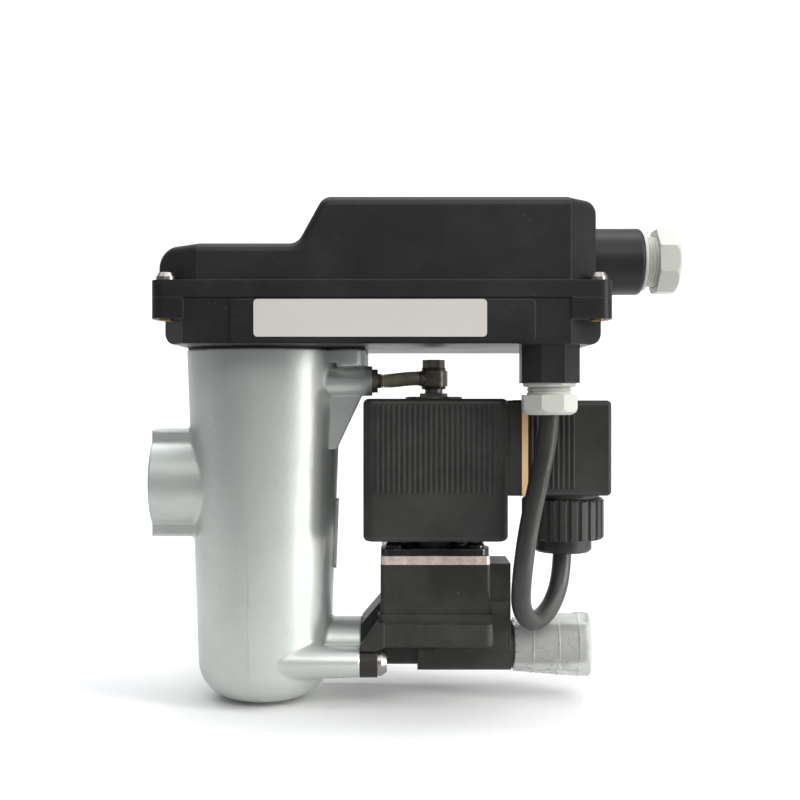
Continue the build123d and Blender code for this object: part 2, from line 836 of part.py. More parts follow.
def gland_seal(thread_r, neck, bore_r):
    """Soft ring gripped between body and nut."""
    low, length = neck + gland_grip, seal_length
    return turned((bore_r, low), (thread_r - 1.6, low), (thread_r - 1.6, low + length * 0.4),
                  (bore_r + seal_lip, low + length), (bore_r, low + length))


def gland_nut(flats, thread_r, neck, length, bore_r, mouth_r):
    """Eight-sided cap nut along +Z with a domed mouth."""
    low, high = neck + 0.05, neck + length
    prism = octagon_z(flats, low, high)
    corner_r = flats / 2 / cos(radians(22.5))
    dome = turned((0, low), (corner_r - 0.3, low), (corner_r, low + 0.3), (corner_r, high - 1.8),
                  (corner_r - 0.6, high - 0.7), (flats / 2 - 1.2, high), (0, high))
    nut = prism & dome
    nut -= rod_z(thread_r + slip, low, neck + gland_grip)
    nut -= gland_seal(thread_r + slip, neck, bore_r + slip) + rod_z(bore_r + slip, low, high - 1.0)
    nut -= rod_z(mouth_r, low, high)
    return nut


def valve_gland(solid):
    """Gland pieces made along +Z, hung under the conduit."""
    return Pos(conduit_x, conduit_y, conduit_end_z) * Rot(180, 0, 0) * solid


def supply_gland(solid):
    return lying(solid, supply_boss_end_x, 0, supply_z)


# ---------------------------------------------------------------- solenoid and plug pieces
def coil_body():
    half_x, half_y = coil_width / 2, coil_depth / 2
    coil = block(-half_x, half_x, -half_y, half_y, coil_low_z, coil_top_z)
    upright = [e for e in coil.edges() if abs(e.tangent_at(0.5).Z) > 0.9]
    coil = fillet(upright, coil_upright_r)
    rims = [e for e in coil.edges() if abs(e.tangent_at(0.5).Z) < 0.1]
    coil = fillet(rims, coil_rim_r)
    for side in (-1, 1):
        y = side * half_y
        for i in range(coil_rib_count):
            x = (i - (coil_rib_count - 1) / 2) * coil_rib_pitch
            coil += block(x - coil_rib_half, x + coil_rib_half, y - coil_rib_height,
                          y + coil_rib_height, coil_rib_low_z, coil_rib_top_z)
    base = block(half_x - coil_rim_r, half_x + plug_base_length, -plug_half_y, plug_half_y,
                 plug_low_z, plug_top_z)
    ends = [e for e in base.edges()
            if abs(e.tangent_at(0.5).X) > 0.9 and e.center().X > half_x]
    coil += fillet(ends, plug_corner_r)
    coil -= rod_z(tube_r + slip, coil_low_z, coil_top_z)
    coil -= rod_z(core_head_r + slip, coil_top_z - core_head_h / 2, coil_top_z)
    coil -= [
        block(half_x + plug_base_length - blade_root, half_x + plug_base_length, y0, y1, z0, z1)
        for y0, y1, z0, z1 in blade_sections(slip)
    ]
    screw_end = half_x + plug_base_length
    coil -= rod_x(screw_m3_r + slip, screw_end - plug_screw_bite - screw_short, screw_end, 0,
                  plug_middle_z())
    return Pos(valve_x, 0, 0) * coil


def plug_middle_z():
    return (plug_low_z + plug_top_z) / 2


def blade_sections(play=0.0):
    """(y0, y1, z0, z1) of the two current blades and the earth blade."""
    wide, thin = blade_half + play, blade_thickness / 2 + play
    middle = plug_middle_z()
    flat = [(-wide, wide, middle + rise - thin, middle + rise + thin)
            for rise in (-blade_spread, blade_spread)]
    return flat + [(-blade_spread - thin, -blade_spread + thin, middle - wide, middle + wide)]


def plug_base_x():
    return valve_x + coil_width / 2 + plug_base_length


def contact_blades():
    start = plug_base_x() - blade_root
    end = plug_base_x() + plug_gasket_thickness + blade_reach
    return [block(start, end, y0, y1, z0, z1) for y0, y1, z0, z1 in blade_sections()]


def plug_block(start, end, inset=0.0, corner=plug_corner_r):
    solid = block(start, end, -plug_half_y + inset, plug_half_y - inset, plug_low_z + inset,
                  plug_top_z - inset)
    along = [e for e in solid.edges() if abs(e.tangent_at(0.5).X) > 0.9]
    return fillet(along, corner)


def connector_gasket():
    start = plug_base_x()
    gasket = plug_block(start, start + plug_gasket_thickness, -plug_gasket_proud)
    for y0, y1, z0, z1 in blade_sections(plug_gasket_play):
        gasket -= block(start, start + plug_gasket_thickness, y0, y1, z0, z1)
    gasket -= rod_x(screw_m3_r + slip, start, start + plug_gasket_thickness, 0, plug_middle_z())
    return gasket


def plug_axis_x():
    """Axis of the cable outlet, just short of the middle of the plug."""
    return plug_base_x() + plug_gasket_thickness + plug_length / 2 - 0.2


def plug_seat_z():
    """Shoulder under the plug on which the nut stops."""
    return plug_low_z - plug_seat_gap


def connector_housing():
    start = plug_base_x() + plug_gasket_thickness
    end = start + plug_length
    shell = plug_block(start, end, 0, plug_corner_r + 0.4)
    outer_rim = [e for e in shell.edges()
                 if e.center().X > end - 0.1 and abs(e.tangent_at(0.5).X) < 0.1]
    shell = fillet(outer_rim, plug_end_r)
    low_margin, high_margin = plug_rib_margin
    for side in (-1, 1):
        y = side * plug_half_y
        for i in range(plug_rib_count):
            x = start + plug_rib_pitch * (i + 0.7)
            shell += block(x - plug_rib_half, x + plug_rib_half, y - plug_rib_half, y + plug_rib_half,
                           plug_low_z + low_margin, plug_top_z - high_margin)
    thread_low = plug_nut_low_z + 2 * seal_step
    shell += rod_z(plug_nut_r - plug_neck_inset, plug_seat_z(), plug_low_z + plug_wall, plug_axis_x())
    shell += rod_z(plug_thread_r, thread_low, plug_low_z, plug_axis_x())
    shell -= plug_block(start, end - plug_wall, plug_wall, 0.8)
    shell -= rod_z(cable_r + plug_neck_inset, thread_low, plug_low_z + plug_wall, plug_axis_x())
    shell -= rod_x(screw_m3_r + slip, end - plug_wall, end, 0, plug_middle_z())
    shell -= rod_x(screw_m3_head_r + slip, end - plug_screw_sink, end, 0, plug_middle_z())
    return shell


def connector_insert():
    start = plug_base_x() + plug_gasket_thickness
    end = start + insert_length
    insert = plug_block(start, end, plug_wall + slip, 0.8)
    for y0, y1, z0, z1 in blade_sections(slip):
        insert -= block(start, start + blade_reach + slip, y0, y1, z0, z1)
    insert -= rod_x(screw_m3_r + slip, start, end, 0, plug_middle_z())
    insert -= rod_z(cable_r + 2.0, plug_low_z, plug_low_z + insert_recess, plug_axis_x())
    return insert


def connector_screw():
    end = plug_base_x() + plug_gasket_thickness + plug_length
    length = end - plug_screw_sink - plug_base_x() + plug_screw_bite
    screw = pan_screw(screw_m3_r, length, screw_m3_head_r, screw_m3_head_h)
    return lying(screw, end - plug_screw_sink, 0, plug_middle_z())


def connector_nut():
    top = plug_seat_z()
    nut = rod_z(plug_nut_r, plug_nut_low_z, top - rest_gap)
    rims = [e for e in nut.edges() if abs(e.tangent_at(0.5).Z) < 0.1]
    nut = chamfer(rims, plug_nut_chamfer)
    for i in range(plug_nut_flutes):
        a = 360 / plug_nut_flutes * i
        nut -= Rot(0, 0, a) * rod_z(plug_flute_r, plug_nut_low_z, top, plug_nut_r + slip)
    collar = rod_z(plug_collar_r, plug_collar_low_z, plug_nut_low_z + root)
    foot = [e for e in collar.edges() if e.center().Z < plug_collar_low_z + 0.1]
    nut += chamfer(foot, plug_collar_chamfer)
    nut -= rod_z(plug_thread_r + slip, plug_nut_low_z + seal_step, top)
    nut -= rod_z(cable_r + root, plug_collar_low_z, top)
    return Pos(plug_axis_x(), 0, 0) * nut


def connector_seal():
    low, high = plug_nut_low_z + seal_step, plug_nut_low_z + 2 * seal_step
    return ring_z(plug_thread_r - root, seal_bore_r, low, high, plug_axis_x())


def core_tube():
    return ring_z(tube_r, tube_r - tube_wall, pocket_floor(), core_head_z(), valve_x)


def plate_top():
    return plate_low_z + plate_thickness


def pocket_floor():
    """Floor of the armature flange's pocket, on which the armature tube stands."""
    return plate_top() + flange_thickness


def chamber_top_z():
    return pocket_floor() - pilot_web


def core_head_z():
    return coil_top_z - core_head_h / 2


def core_top_z():
    return core_head_z() + core_head_h


def plunger():
    """Soft-iron armature with a spring pocket in its top."""
    low = pocket_floor() + rest_gap
    high = low + plunger_length
    solid = rod_z(tube_r - tube_wall - run_gap, low, high, valve_x)
    solid -= rod_z(plunger_spring_r + plunger_pocket_play, high - plunger_pocket, high, valve_x)
    return solid


def core_low_z():
    return pocket_floor() + rest_gap + plunger_length + plunger_travel + plunger_stop_gap


def fixed_core():
    """Steel plug that closes the tube and carries the hollow stub for the pilot fitting."""
    bore_z = coil_top_z - bolt_depth
    neck_r = tube_r - tube_wall - slip / 2
    core = turned(
        (0, core_low_z()), (neck_r, core_low_z()), (neck_r, core_head_z()),
        (core_head_r, core_head_z()), (core_head_r, core_top_z()), (core_stub_r, core_top_z()),
        (core_stub_r, core_top_z() + core_stub_height), (0, core_top_z() + core_stub_height),
    )
    core -= rod_z(core_bore_r, core_low_z(), bore_z)
    core -= rod_z(bolt_r + slip, bore_z, core_top_z() + core_stub_height)
    return Pos(valve_x, 0, 0) * core


def plunger_spring():
    low = pocket_floor() + rest_gap + plunger_length - plunger_pocket
    return Pos(valve_x, 0, 0) * spring(plunger_spring_r, spring_wire_r, 6, low, core_low_z())


def banjo_low_z():
    return core_top_z() + core_stub_height + washer_thickness


def coil_nut():
    low = core_top_z()
    hexagon = extrude(RegularPolygon(coil_nut_half, 6, major_radius=False), coil_nut_h)
    return Pos(valve_x, 0, low) * hexagon - rod_z(core_stub_r + slip, low, low + coil_nut_h, valve_x)


def banjo_washers():
    below = banjo_low_z() - washer_thickness
    above = banjo_low_z() + banjo_height
    return [ring_z(washer_r, bolt_r + slip, z, z + washer_thickness, valve_x) for z in (below, above)]


def banjo_bolt():
    head_low = banjo_low_z() + banjo_height + washer_thickness
    low = coil_top_z - bolt_depth + slip
    bolt = rod_z(bolt_r, low, head_low, valve_x)
    head = extrude(RegularPolygon(banjo_head_r, 6, major_radius=False), banjo_head_h)
    bolt += Pos(valve_x, 0, head_low) * head
    bolt -= rod_z(bolt_bore_r, low, head_low - bolt_r, valve_x)
    return bolt


def banjo_ring():
    low = banjo_low_z()
    middle = low + banjo_height / 2
    ring = rod_z(banjo_r, low, low + banjo_height)
    ring += Rot(0, 0, banjo_turn) * rod_x(hose_r, 0, banjo_spigot, 0, middle)
    ring -= rod_z(bolt_r + slip, low, low + banjo_height)
    ring -= Rot(0, 0, banjo_turn) * rod_x(banjo_bore_r, 0, banjo_spigot, 0, middle)
    return Pos(valve_x, 0, 0) * ring


def hose_fitting():
    """Nipple screwed into the pilot boss."""
    bore_r, hex_r, hex_end = banjo_bore_r, fitting_hex_r, fitting_hex_length
    fitting = turned(
        (bore_r, -fitting_thread_length), (fitting_thread_r, -fitting_thread_length),
        (fitting_thread_r, 0), (hex_r, 0), (hex_r, hex_end), (hose_r, hex_end),
        (hose_r, nipple_reach), (bore_r, nipple_reach),
    )
    return lying(fitting, pilot_end_x, pilot_y, pilot_z)


def spigot_end():
    reach = banjo_spigot
    return (
        valve_x + reach * cos(radians(banjo_turn)),
        reach * sin(radians(banjo_turn)),
        banjo_low_z() + banjo_height / 2,
    )


def tangent_radii(points):
    """Arc radius at each inner point: 0.45 of the shorter run over tan of half the turn."""
    radii = []
    for a, b, c in zip(points, points[1:], points[2:]):
        before, after = Vector(*b) - Vector(*a), Vector(*c) - Vector(*b)
        turn = radians(before.get_angle(after))
        radii.append(0.45 * min(before.length, after.length) / tan(turn / 2))
    return radii


def tube_along(points, radius, label):
    radii = tangent_radii(points)
    path = FilletPolyline(*points, radius=radii)
    start = Plane(path @ 0, z_dir=path % 0)
    tube = sweep(start * Circle(radius), path)
    ideal = path.length * pi * radius * radius
    print(label, "length", round(path.length, 2), "radii", [round(r, 1) for r in radii],
          "volume ratio", round(tube.volume / ideal, 5))
    return tube


def pilot_hose_points():
    """Short hose from the nipple to the fitting; both end runs are square to what they meet."""
    end = spigot_end()
    start_x = pilot_end_x + nipple_reach
    return [
        (start_x, pilot_y, pilot_z),
        (start_x + hose_end_run, pilot_y, pilot_z),
        (end[0] + hose_end_run * cos(radians(banjo_turn)),
         end[1] + hose_end_run * sin(radians(banjo_turn)), end[2]),
        end,
    ]


def pilot_hose():
    return tube_along(pilot_hose_points(), hose_r, "pilot hose")


def cable_points():
    """Valve cable from the gland's seal, round its loop, up to the plug's seal."""
    return [
        (conduit_x, conduit_y, conduit_end_z - valve_neck - gland_grip - seal_length),
        (conduit_x, conduit_y, 15.2),
        (110.9, -24.2, 1.5),
        (108.0, -24.1, -12.0),
        (106.4, -23.2, -25.0),
        (106.3, -19.8, -35.2),
        (111.0, -13.0, -40.2),
        (117.2, -6.0, -36.6),
        (plug_axis_x(), 0.0, -27.2),
        (plug_axis_x(), 0.0, plug_nut_low_z + seal_step),
    ]


def valve_cable():
    return tube_along(cable_points(), cable_r, "valve cable")


# ---------------------------------------------------------------- valve
def flange_screw_places():
    offset_ = flange_screw_offset
    return [(valve_x + sx * offset_, sy * offset_) for sx in (-1, 1) for sy in (-1, 1)]


def armature_flange():
    """Black flange over the steel plate that grips the armature tube."""
    low = plate_top()
    outline = Rectangle(2 * block_half, 2 * block_half)
    outline = fillet(outline.vertices(), flange_corner_r)
    for a in range(4):
        hollow = Pos(0, -block_half - flange_scallop_r) * Circle(flange_scallop_r + flange_scallop)
        outline -= Rot(0, 0, 90 * a) * hollow
    plate = extrude(outline, flange_thickness)
    hub = rod_z(hub_r, 0, coil_low_z - low)
    flange = Pos(valve_x, 0, low) * (plate + hub)
    flange -= rod_z(tube_r + slip, pocket_floor(), coil_low_z, valve_x)
    flange -= rod_z(disc_hole_r + 0.3, low, chamber_top_z(), valve_x)
    flange -= rod_z(pilot_hole_r, low, pocket_floor(), valve_x)
    for x, y in flange_screw_places():
        flange -= rod_z(screw_m3_r + slip, low, low + flange_thickness, x, y)
    return flange


def steel_plate():
    outline = RectangleRounded(2 * block_half, 2 * block_half, plate_corner_r)
    plate = Pos(valve_x, 0, plate_low_z) * extrude(outline, plate_thickness)
    plate -= rod_z(disc_hole_r + 0.3, plate_low_z, plate_top(), valve_x)
    for x, y in flange_screw_places():
        plate -= rod_z(screw_m3_r + slip, plate_low_z, plate_top(), x, y)
    return plate


def flange_screws():
    length = flange_thickness + plate_thickness + flange_screw_bite
    screw = pan_screw(screw_m3_r, length, screw_m3_head_r, screw_m3_head_h * 0.8)
    return [Pos(x, y, plate_top() + flange_thickness) * screw for x, y in flange_screw_places()]


def valve_body():
    half = block_half
    side_x = joint_x + joint_plate
    body = block(valve_x - half, valve_x + half, -half, half, block_low_z, plate_low_z)
    body = fillet([e for e in body.edges() if abs(e.tangent_at(0.5).Z) > 0.9], plug_corner_r)
    plinth_low = block_low_z - plinth_height
    plinth_width = 2 * (half + plinth_out)
    plinth = Pos(valve_x, 0, plinth_low) * extrude(
        RectangleRounded(plinth_width, plinth_width, coil_rim_r), plinth_height)
    foot_low = block_low_z - foot_depth
    foot = block(side_x - root, valve_x + half + 1.0, -half - foot_out, half + foot_out,
                 foot_low, plinth_low)
    foot = fillet([e for e in foot.edges()
                   if e.center().X > valve_x and abs(e.tangent_at(0.5).Z) > 0.9], foot_corner_r)
    foot = fillet([e for e in foot.edges() if e.center().X > valve_x
                   and e.center().Z < foot_low + 0.1 and abs(e.tangent_at(0.5).Y) < 0.9
                   and abs(e.tangent_at(0.5).X) < 0.9], foot_edge_r)
    body += plinth + foot

    flange_face = make_hull([
        *Circle(joint_lug_r).moved(Location((-joint_bolt_z, -joint_bolt_y))).edges(),
        *Circle(joint_lug_r).moved(Location((-joint_bolt_z, joint_bolt_y))).edges(),
    ]) + Pos(-line_z, 0) * Circle(duct_r)
    body += lying(extrude(flange_face, joint_plate), joint_x)
    lug_top_z = joint_bolt_z + joint_lug_r - root
    shoulder = make_face(Polyline(
        (joint_x, lug_top_z), (joint_x, block_low_z - 4.4), (valve_x - half + 1.0, plate_low_z - 10.5),
        (valve_x - half + 1.0, lug_top_z), close=True,
    ))
    body += extrude(Plane.XZ * shoulder, duct_r, both=True)
    for side in (-1, 1):
        ear = make_face(Polyline(
            (joint_x, lug_top_z), (joint_x, foot_low), (side_x, block_low_z - 2.2),
            (side_x + 2.0, block_low_z - 2.2), (side_x + 2.0, foot_low), (side_x, lug_top_z),
            close=True,
        ))
        body += Pos(0, side * (half - 1.2), 0) * extrude(Plane.XZ * ear, joint_lug_r * 0.67, both=True)

    body += rod_x(tube_thin_r, joint_x, tube_step_x + 1, 0, line_z)
    body += rod_x(tube_thick_r, tube_step_x, tube_end_x, 0, line_z)
    body += block(valve_x, valve_x + half + 6.6, -8.0, 8.0, line_z, plate_low_z - 0.8)
    body += block(valve_x, valve_x + half + 5.4, -10.0, 10.0, line_z, block_low_z + 2.6)

    body -= rod_z(membrane_r + slip, plate_low_z - membrane_thickness, plate_low_z, valve_x)
    ring_chamber = ring_z(chamber_r, seat_r, seat_z - chamber_depth,
                          plate_low_z - membrane_thickness, valve_x)
    open_top = rod_z(chamber_r, seat_z, plate_low_z - membrane_thickness, valve_x)
    body -= ring_chamber + open_top
    inlet_turn_x = valve_x - (chamber_r + seat_r) / 2
    body -= rod_x(inlet_passage_r, joint_x, inlet_turn_x, 0, line_z)
    body -= rod_z(riser_r, line_z, seat_z - chamber_depth + 1.0, inlet_turn_x)
    body -= rod_z(seat_bore_r, line_z, seat_z, valve_x)
    body -= rod_x(seat_bore_r, valve_x, tube_end_x, 0, line_z)
    body -= rod_x(nozzle_thread_r + slip, tube_end_x - nozzle_thread_length, tube_end_x, 0, line_z)
    groove_half = o_ring_half + o_ring_play
    groove = ring_z(o_ring_r + groove_half, o_ring_r - groove_half, 0, o_ring_thickness)
    body -= lying(groove, joint_x, 0, line_z)
    for x, y in flange_screw_places():
        body -= rod_z(screw_m3_r + slip, plate_low_z - flange_screw_bite - screw_short, plate_low_z, x, y)
    for side in (-1, 1):
        body -= rod_x(screw_m4_r + slip, joint_x, side_x + joint_plate, side * joint_bolt_y, joint_bolt_z)
        body -= rod_x(screw_m4_head_r + o_ring_play, side_x, side_x + joint_plate,
                      side * joint_bolt_y, joint_bolt_z)
    return body


def valve_o_ring():
    ring = ring_z(o_ring_r + o_ring_half, o_ring_r - o_ring_half, 0, o_ring_thickness)
    return lying(ring, joint_x, 0, line_z)


def valve_screws():
    length = joint_plate + joint_screw_depth - screw_short
    screw = pan_screw(screw_m4_r, length, screw_m4_head_r, screw_m4_head_h)
    return [lying(screw, joint_x + joint_plate, side * joint_bolt_y, joint_bolt_z) for side in (-1, 1)]


def diaphragm():
    low, high = plate_low_z - membrane_thickness, plate_low_z
    return ring_z(membrane_r, disc_hole_r, low, high, valve_x)


def diaphragm_disc():
    high = plate_low_z + disc_rise
    disc = rod_z(disc_r, seat_z + rest_gap, high, valve_x)
    disc -= ring_z(disc_spring_r + 1.0, disc_spring_r - 1.0, high - disc_groove, high, valve_x)
    return disc


def diaphragm_spring():
    low = plate_low_z + disc_rise - disc_groove
    return Pos(valve_x, 0, 0) * spring(disc_spring_r, spring_wire_r, 3, low, chamber_top_z())


def outlet_nozzle():
    """Screwed hose nozzle with three barbs."""
    stem_r, length = barb_root_r, nozzle_end_x - tube_end_x
    collar_r = tube_thick_r - nozzle_collar
    profile = [
        (nozzle_bore_r, -nozzle_thread_length), (nozzle_thread_r, -nozzle_thread_length),
        (nozzle_thread_r, 0), (collar_r, 0), (collar_r, nozzle_collar), (stem_r, nozzle_collar),
    ]
    pitch = (length - nozzle_tip) / 3
    for i in range(3):
        foot = nozzle_tip * 0.8 + i * pitch
        profile += [(stem_r, foot), (barb_r, foot + pitch * 0.05), (stem_r, foot + pitch * 0.95)]
    profile += [(stem_r, length), (nozzle_bore_r, length)]
    return lying(turned(*profile), tube_end_x, 0, line_z)


def cap_radius(x):
    share = (x - cap_start_x) / (cap_end_x - cap_start_x)
    return cap_rim_r + (cap_end_r - cap_rim_r) * min(1.0, share * 1.25)


def outlet_cap():
    """Push-on protection cap; soft, open towards the valve."""
    length = cap_end_x - cap_start_x
    outer = [(0.0, cap_radius(cap_start_x))]
    for at in cap_ring_places:
        r = cap_radius(cap_start_x + at)
        outer += [(at - 0.3, r - 0.05), (at, r + 0.18), (at + 0.3, r)]
    outer += [(length - 1.0, cap_end_r), (length, cap_end_r - 0.9)]
    floor = length - cap_floor
    inner = [(floor, 0), (floor, cap_end_r - cap_floor), (0, cap_radius(cap_start_x) - cap_wall)]
    profile = [(r, x) for x, r in outer] + [(0, length)] + [(r, x) for x, r in inner]
    return lying(turned(*profile), cap_start_x, 0, line_z)


# ---------------------------------------------------------------- export
pieces = {
    "container_casting": container_casting(),
    "container_seal": container_seal(),
    "container_screws": container_screws(),
    "level_probe": level_probe(),
    "lower_housing": lower_housing(),
    "hood_gasket": hood_gasket(),
    "hood_cover": hood_cover(),
    "hood_screws": hood_screws(),
    "hood_inserts": hood_inserts(),
    "rating_label": rating_label(),
    "main_board": main_board(),
    "board_screws": board_screws(),
    "transformer": transformer(),
    "relay": on_board(relay_box),
    "terminal_block": terminal_block(),
    "display_board": display_board(),
    "display_screws": display_screws(),
    "test_switch": test_switch(),
    "test_button": test_button(),
    "light_pipes": light_pipes(),
    "supply_gland_body": supply_gland(gland_body(supply_thread_r, supply_neck, supply_cable_r + 0.8)),
    "supply_gland_seal": supply_gland(
        gland_seal(supply_thread_r, supply_neck, supply_cable_r)),
    "supply_gland_nut": supply_gland(gland_nut(
        supply_nut_flats, supply_thread_r, supply_neck, supply_nut_length, supply_cable_r,
        supply_cable_r + 0.4)),
    "valve_gland_body": valve_gland(gland_body(valve_thread_r, valve_neck, cable_r + 0.8)),
    "valve_gland_seal": valve_gland(gland_seal(valve_thread_r, valve_neck, seal_bore_r)),
    "valve_gland_nut": valve_gland(gland_nut(
        valve_nut_flats, valve_thread_r, valve_neck, valve_nut_length, seal_bore_r, cable_r + 0.5)),
    "valve_cable": valve_cable(),
    "coil_body": coil_body(),
    "contact_blades": contact_blades(),
    "connector_gasket": connector_gasket(),
    "connector_housing": connector_housing(),
    "connector_insert": connector_insert(),
    "connector_screw": connector_screw(),
    "connector_nut": connector_nut(),
    "connector_seal": connector_seal(),
    "core_tube": core_tube(),
    "fixed_core": fixed_core(),
    "plunger": plunger(),
    "plunger_spring": plunger_spring(),
    "coil_nut": coil_nut(),
    "banjo_bolt": banjo_bolt(),
    "banjo_ring": banjo_ring(),
    "banjo_washers": banjo_washers(),
    "hose_fitting": hose_fitting(),
    "pilot_hose": pilot_hose(),
    "armature_flange": armature_flange(),
    "flange_screws": flange_screws(),
    "steel_plate": steel_plate(),
    "diaphragm": diaphragm(),
    "diaphragm_disc": diaphragm_disc(),
    "diaphragm_spring": diaphragm_spring(),
    "valve_body": valve_body(),
    "valve_o_ring": valve_o_ring(),
    "valve_screws": valve_screws(),
    "outlet_nozzle": outlet_nozzle(),
    "outlet_cap": outlet_cap(),
}

for node, piece in pieces.items():
    shape = Compound(children=list(piece)) if isinstance(piece, (list, tuple)) else piece
    export_step(shape, f"parts/{node}.step")
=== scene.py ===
# %% [markdown]
# # Automatic condensate drain valve
# A cast aluminium container carries a black electronics hood and a solenoid valve with its cable
# plug. The solids are modelled elsewhere and come in here as a fixed frame. This lesson gives
# each of them its real surface, and draws the soft and fine pieces anew: the cable, the
# corrugated pilot hose, the mould seam of the container and two coil springs.

# %% Load the solids
import math

import bmesh
import bpy
from mathutils import Matrix, Vector
from mathutils.geometry import interpolate_bezier


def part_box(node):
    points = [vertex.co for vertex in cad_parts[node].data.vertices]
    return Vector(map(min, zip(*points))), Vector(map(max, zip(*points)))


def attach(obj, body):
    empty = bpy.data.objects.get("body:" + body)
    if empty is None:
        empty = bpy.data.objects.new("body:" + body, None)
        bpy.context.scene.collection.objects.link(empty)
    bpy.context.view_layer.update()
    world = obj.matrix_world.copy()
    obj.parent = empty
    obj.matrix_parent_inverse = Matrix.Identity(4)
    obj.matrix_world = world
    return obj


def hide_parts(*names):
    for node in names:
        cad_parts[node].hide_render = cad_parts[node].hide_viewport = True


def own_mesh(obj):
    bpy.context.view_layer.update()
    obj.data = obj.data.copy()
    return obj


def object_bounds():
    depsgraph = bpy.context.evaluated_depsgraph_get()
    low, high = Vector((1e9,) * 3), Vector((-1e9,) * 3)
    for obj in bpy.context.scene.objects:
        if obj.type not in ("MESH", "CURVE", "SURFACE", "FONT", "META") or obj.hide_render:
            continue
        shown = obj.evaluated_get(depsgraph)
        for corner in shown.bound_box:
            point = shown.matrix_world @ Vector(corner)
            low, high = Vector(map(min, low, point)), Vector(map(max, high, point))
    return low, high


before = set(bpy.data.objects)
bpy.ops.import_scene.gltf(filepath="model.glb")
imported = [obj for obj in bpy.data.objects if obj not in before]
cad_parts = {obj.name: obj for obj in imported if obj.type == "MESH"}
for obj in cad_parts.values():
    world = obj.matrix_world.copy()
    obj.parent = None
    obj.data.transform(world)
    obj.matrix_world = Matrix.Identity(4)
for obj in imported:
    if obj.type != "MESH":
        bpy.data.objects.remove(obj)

cad_low, cad_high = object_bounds()
MM = 0.001
cad_size = [round(v / MM, 1) for v in cad_high - cad_low]
print("solids:", len(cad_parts), "size in mm:", cad_size)


# %% [markdown]
# ## Camera and backdrop
# The drain is seen straight from the front, as on a bench. A pinhole camera about 330 mm away
# gives the slight perspective that makes the front of the hood look larger than its back. The
# floor and the wall behind are one sheet with a large round cove, so no horizon line shows. A
# plain box room would work too, but its corners would cross the picture behind the part.

# %% Helpers that add objects
def add_object(name, data):
    """New object in the scene; its place is in its data, so the object itself stays put."""
    thing = bpy.data.objects.new(name, data)
    bpy.context.scene.collection.objects.link(thing)
    return thing


def object_from(bm, name, material=None):
    mesh = bpy.data.meshes.new(name)
    bm.to_mesh(mesh)
    bm.free()
    if material:
        mesh.materials.append(material)
    return add_object(name, mesh)


def picked(items, kind):
    """Vertices or edges among the mixed geometry that a bmesh operator gives back."""
    return [item for item in items if isinstance(item, kind)]


# %% Camera
view_distance = 330 * MM
camera_left, camera_up = 5.1 * MM, 16.7 * MM      # off the middle of the part
focal_length, sensor_width = 49.5, 36.0           # millimetres, as a lens is marked
middle = (cad_low + cad_high) / 2

camera = add_object("front_camera", bpy.data.cameras.new("front_camera"))
camera.data.sensor_width = sensor_width
camera.data.lens = focal_length
camera.data.clip_start = 10 * MM
camera.location = (middle.x - camera_left, -view_distance, middle.z + camera_up)
camera.rotation_euler = (math.radians(90), 0, 0)
bpy.context.scene.camera = camera
print("camera at", [round(v / MM, 1) for v in camera.location])


# %% Floor with a round cove
def cove_sheet(half_width=2.2, front=-1.6, back=0.9, cove_r=0.6, height=2.4, cove_steps=24):
    """Floor, quarter-round cove and wall in one sheet; lengths in metres."""
    bm = bmesh.new()
    left = bm.verts.new((-half_width, front, cad_low.z))
    right = bm.verts.new((half_width, front, cad_low.z))
    line = [bm.edges.new((left, right))]
    grown = bmesh.ops.extrude_edge_only(bm, edges=line)["geom"]
    floor_end = picked(grown, bmesh.types.BMVert)
    bmesh.ops.translate(bm, verts=floor_end, vec=(0, back - front, 0))
    line = [e for e in picked(grown, bmesh.types.BMEdge) if set(e.verts) <= set(floor_end)]
    turned = bmesh.ops.spin(bm, geom=line, cent=(0, back, cad_low.z + cove_r), axis=(1, 0, 0),
                            angle=math.radians(90), steps=cove_steps)
    line = picked(turned["geom_last"], bmesh.types.BMEdge)
    grown = bmesh.ops.extrude_edge_only(bm, edges=line)["geom"]
    bmesh.ops.translate(bm, verts=picked(grown, bmesh.types.BMVert), vec=(0, 0, height))
    bmesh.ops.remove_doubles(bm, verts=bm.verts, dist=1e-5)
    bmesh.ops.recalc_face_normals(bm, faces=bm.faces)
    for face in bm.faces:
        face.smooth = True
    return object_from(bm, "studio_cove")


cove = cove_sheet()
print("cove faces:", len(cove.data.polygons))


# %% [markdown]
# ## Shared surface effects
# Real surfaces are never one colour. Four effects come back on almost every finish here, so each
# is a shader node group that is built once: the grain of a moulding tool, the worn light edge
# (on the black steel also a painted highlight), fine dust, and the slow cloudiness of a casting.
# Each takes the place on the piece and a few named values, and puts out a mask, a height or a
# normal. Painting textures by hand would also work, but a pattern made from the object's own
# coordinates has no seams and keeps its real scale.

# %% Helpers for node groups
def feed(tree, socket, value):
    """Link value to the socket if it is another socket, else set it as a plain value."""
    if hasattr(value, "links"):
        tree.links.new(value, socket)
    else:
        socket.default_value = value


def new_effect(name, inputs, outputs):
    """Empty shader group with named sockets; returns (tree, input sockets, output sockets)."""
    tree = bpy.data.node_groups.new(name, "ShaderNodeTree")
    tree.interface.new_socket("Place", in_out="INPUT", socket_type="NodeSocketVector")
    for label, value in inputs.items():
        socket = tree.interface.new_socket(label, in_out="INPUT", socket_type="NodeSocketFloat")
        socket.default_value = value
    for label, kind in outputs.items():
        tree.interface.new_socket(label, in_out="OUTPUT", socket_type=kind)
    return tree, tree.nodes.new("NodeGroupInput").outputs, tree.nodes.new("NodeGroupOutput").inputs


def math_node(tree, operation, first, second, clamp=False):
    node = tree.nodes.new("ShaderNodeMath")
    node.operation, node.use_clamp = operation, clamp
    feed(tree, node.inputs[0], first)
    feed(tree, node.inputs[1], second)
    return node.outputs[0]


